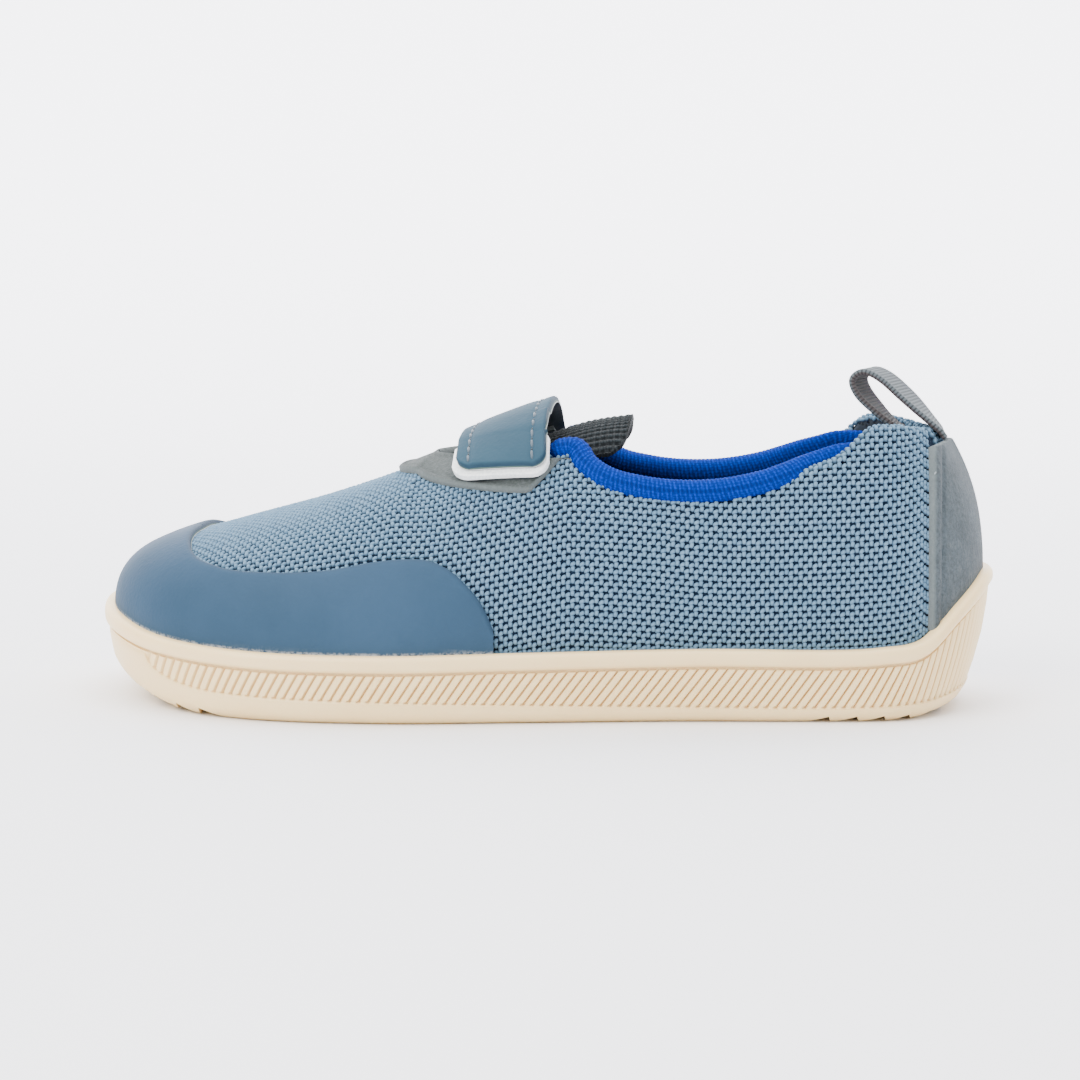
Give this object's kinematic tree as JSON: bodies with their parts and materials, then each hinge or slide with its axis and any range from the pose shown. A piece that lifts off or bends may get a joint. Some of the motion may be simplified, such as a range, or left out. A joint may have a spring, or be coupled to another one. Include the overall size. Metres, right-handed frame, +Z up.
{
  "type": "barefoot shoe",
  "caption": "Child's left barefoot shoe with a knit upper in a moulded cup sole, leather toe guard, padded collar, instep strap and heel pull loop, standing empty on its sole.",
  "frame": {"origin": "centre of the bounding box on the ground plane that the sole stands on", "axes": "+X toward the heel, -X toward the toe, +Y toward the inner side of the foot, -Y toward the outer side, +Z up"},
  "size_m": [0.195, 0.082, 0.072],
  "materials": {
    "sole_rubber": "moulded cream rubber, satin",
    "footbed": "dark textile footbed",
    "knit": "chunky open knit in steel blue over a navy ground",
    "guard_leather": "smooth blue leather, soft sheen",
    "counter_suede": "grey suede",
    "eyestay_suede": "grey suede with a green cast",
    "collar_knit": "fine ribbed knit in royal blue",
    "tongue_knit": "dark ribbed knit",
    "strap_leather": "smooth grey-blue leather with raw edges",
    "fastener": "white touch fastener",
    "webbing": "grey ribbed webbing"
  },
  "bodies": {
    "root": {"outsole": "sole_rubber", "insole": "footbed", "upper": "knit", "toe_guard": "guard_leather", "heel_counter": "counter_suede", "eyestay": "eyestay_suede", "collar_binding": "collar_knit", "tongue": "tongue_knit", "strap": "strap_leather", "fastener_patch": "fastener", "pull_loop": "webbing"}
  },
  "joints": []
}
